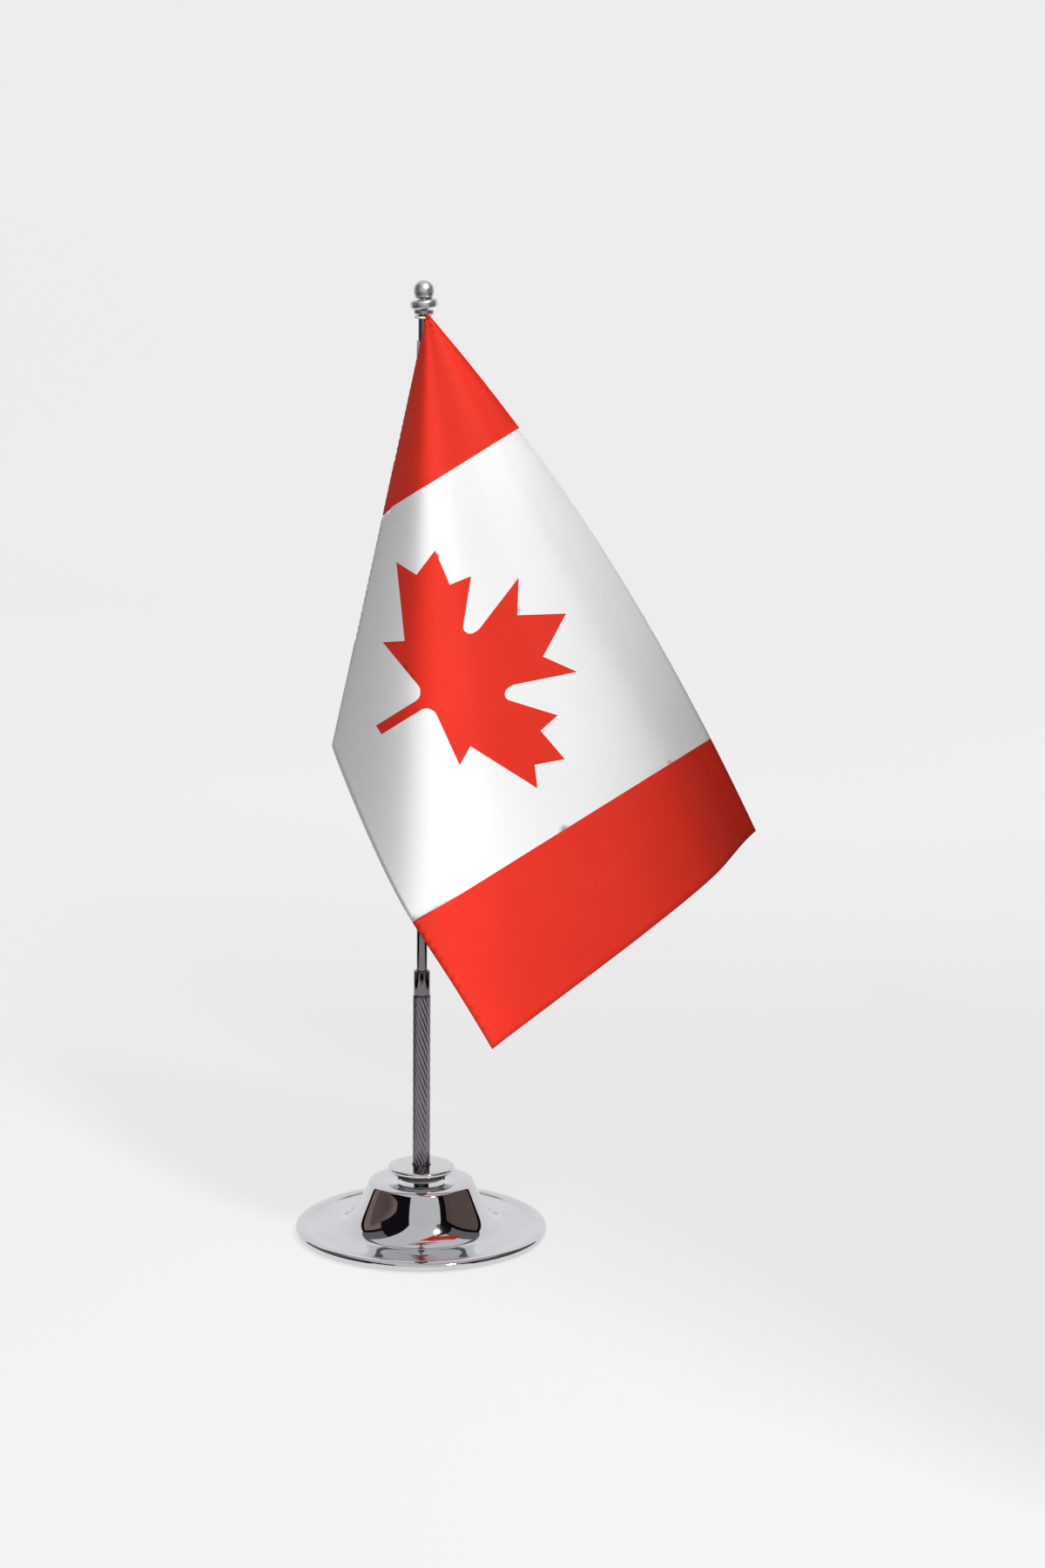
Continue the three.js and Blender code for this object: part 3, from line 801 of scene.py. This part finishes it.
def hoist_sleeve():
    """The heading: a cloth tunnel round the mast, puckered a little, with its fin to the hoist edge."""
    low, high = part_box("hoist_sleeve")
    around, rows = 48, 120
    points, faces = [], []
    for j in range(rows + 1):
        z = low.z + (high.z - low.z) * j / rows
        for layer in (0, 1):
            for i in range(around):
                angle = TURN * i / around
                pucker = 0.06 * MM * math.sin(z / MM * 0.9 + 2 * math.sin(angle * 3))
                radius = SLEEVE_INNER + (SLEEVE_WALL * 0.8 + pucker if layer else 0)
                points.append((radius * math.cos(angle), radius * math.sin(angle), z))
    for j in range(rows):
        for i in range(around):
            k = (i + 1) % around
            here, above = j * 2 * around, (j + 1) * 2 * around
            faces.append((here + i, above + i, above + k, here + k))
            faces.append((here + around + i, here + around + k, above + around + k, above + around + i))
    for i in range(around):
        k = (i + 1) % around
        top = rows * 2 * around
        faces.append((i, k, around + k, around + i))
        faces.append((top + i, top + around + i, top + around + k, top + k))
    first = len(points)
    for j in range(rows + 1):
        z = low.z + (high.z - low.z) * j / rows
        lean = 0.05 * MM * math.sin(z / MM * 0.7)
        for x, y in ((FIN_X - FIN_HALF, -2.5 * MM), (FIN_X + FIN_HALF, -2.5 * MM),
                     (FIN_X + FIN_HALF, low.y), (FIN_X - FIN_HALF, low.y)):
            points.append((x + lean, y, z))
    for j in range(rows):
        for i in range(4):
            k = (i + 1) % 4
            here, above = first + j * 4, first + (j + 1) * 4
            faces.append((here + i, here + k, above + k, above + i))
    faces.append((first + 3, first + 2, first + 1, first))
    faces.append(tuple(first + rows * 4 + i for i in range(4)))
    return new_piece("hoist_sleeve_cloth", points, faces, HEADING, "flag", ["hoist_sleeve"])


sleeve = hoist_sleeve()


CORD_TWISTS = 22  # half turns of the two plies round the loop


def sweep(name, path, radius, sides, material, body, stands_for):
    """A closed loop of twisted two-ply cord along the points of a path."""
    points, faces = [], []
    count = len(path)
    for k, here in enumerate(path):
        run = (path[(k + 1) % count] - path[k - 1]).normalized()
        side = run.cross(Vector((0, 0, 1))).normalized()
        up = side.cross(run)
        for i in range(sides):
            angle = TURN * i / sides
            lobe = abs(math.cos(angle - CORD_TWISTS * math.pi * k / count))
            reach = radius * (0.72 + 0.28 * lobe)
            points.append(here + (side * math.cos(angle) + up * math.sin(angle)) * reach)
    for k in range(count):
        there = (k + 1) % count
        for i in range(sides):
            j = (i + 1) % sides
            faces.append((k * sides + i, there * sides + i, there * sides + j, k * sides + j))
    return new_piece(name, points, faces, material, body, stands_for)


def tie_cord():
    low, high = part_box("tie_cord")
    radius = (high.z - low.z) / 2
    middle = (low + high) / 2
    half = (high - low) / 2 - Vector((radius, radius, 0))
    count = 240
    path = [Vector((middle.x + half.x * math.cos(TURN * k / count),
                    middle.y + half.y * math.sin(TURN * k / count), middle.z)) for k in range(count)]
    return sweep("tie_cord_loop", path, radius, 20, HEADING, "flag", ["tie_cord"])


tie_cord()


# ---- Studio ----


def card(name, middle, size, colour, facing=(0, 0, 0.15), strength=0.0):
    """A flat panel outside the view that the chrome reflects."""
    mesh = bpy.data.meshes.new(name)
    w, h = size[0] / 2, size[1] / 2
    mesh.from_pydata([(-w, -h, 0), (w, -h, 0), (w, h, 0), (-w, h, 0)], [], [(0, 1, 2, 3)])
    panel = bpy.data.objects.new(name, mesh)
    bpy.context.scene.collection.objects.link(panel)
    panel.location = middle
    panel.rotation_euler = (Vector(facing) - Vector(middle)).to_track_quat("Z", "Y").to_euler()
    material = new_material(name, Roughness=1.0)
    shader = shader_of(material)
    shader.inputs["Specular IOR Level"].default_value = 0
    shader.inputs["Base Color"].default_value = (0, 0, 0, 1) if strength else (*colour, 1)
    shader.inputs["Emission Color"].default_value = (*colour, 1)
    shader.inputs["Emission Strength"].default_value = strength
    mesh.materials.append(material)
    panel.visible_camera = strength > 0


def seamless():
    """Pale floor that curves up into the backdrop."""
    half, depth, height, bend = 4.0, 2.5, 3.5, 0.8
    profile = [(-4.0, 0.0), (depth - bend, 0.0)]
    for k in range(1, 13):
        angle = math.pi / 2 * k / 12
        profile.append((depth - bend + bend * math.sin(angle), bend - bend * math.cos(angle)))
    profile.append((depth, height))
    points = [(x, y, z) for y, z in profile for x in (-half, half)]
    faces = [(2 * i, 2 * i + 1, 2 * i + 3, 2 * i + 2) for i in range(len(profile) - 1)]
    mesh = bpy.data.meshes.new("backdrop")
    mesh.from_pydata(points, [], faces)
    mesh.shade_smooth()
    material = new_material("backdrop_paper", Roughness=1.0)
    shader = shader_of(material)
    shader.inputs["Specular IOR Level"].default_value = 0
    shader.inputs["Emission Color"].default_value = (1, 0.995, 1, 1)
    shader.inputs["Emission Strength"].default_value = 0.77
    tint(material, noise(material, 2, 2), (0.09, 0.088, 0.09), (0.1, 0.098, 0.1))
    mesh.materials.append(material)
    floor = bpy.data.objects.new("backdrop", mesh)
    bpy.context.scene.collection.objects.link(floor)


def area_light(name, place, target, size, power):
    data = bpy.data.lights.new(name, "AREA")
    data.shape = "RECTANGLE"
    data.size, data.size_y = size
    data.energy = power
    light = bpy.data.objects.new(name, data)
    bpy.context.scene.collection.objects.link(light)
    light.location = place
    light.rotation_euler = (Vector(target) - Vector(place)).to_track_quat("-Z", "Y").to_euler()


def studio():
    world = bpy.data.worlds.new("studio")
    bpy.context.scene.world = world
    world.use_nodes = True
    background = world.node_tree.nodes["Background"]
    background.inputs["Color"].default_value = (0.98, 0.98, 1.0, 1)
    background.inputs["Strength"].default_value = 0.14
    seamless()
    area_light("key", (0.95, -1.3, 2.1), (0.05, 0, 0.25), (0.3, 0.3), 80)
    brown = (0.2, 0.15, 0.135)
    black = (0.006, 0.006, 0.008)
    white = (1, 1, 1)
    card("brown_left", (-0.33, -0.07, 0.15), (0.42, 0.24), brown, (0, -0.07, 0.15))
    card("brown_right", (0.33, -0.07, 0.15), (0.42, 0.24), brown, (0, -0.07, 0.15))
    card("wall_left", (-0.35, -0.07, 0.17), (0.54, 0.34), black, (0, -0.07, 0.17))
    card("wall_right", (0.35, -0.07, 0.17), (0.54, 0.34), black, (0, -0.07, 0.17))
    card("near_left", (-0.2, -0.23, 0.25), (0.36, 0.24), black, (0.8, -0.09, 0.25))
    card("key_cutter", (0.6, -0.45, 0.7), (0.5, 0.9), black, (0.6, 0, 0.7))
    card("ceiling", (0, -0.8, 2.8), (3.2, 4.6), white, (0, -0.8, 0), 0.65)
    card("front_screen", (0, -3.2, 1.5), (6.4, 3.2), white, (0, 0, 1.5), 0.62)
    card("front_floor", (0, -1.9, 0.002), (4, 3.0), white, (0, -1.9, 1), 0.4)
    card("black_floor", (0, -0.85, 0.004), (0.4, 0.8), black, (0, -0.85, 1))
    scene = bpy.context.scene
    scene.view_settings.view_transform = "Standard"


studio()
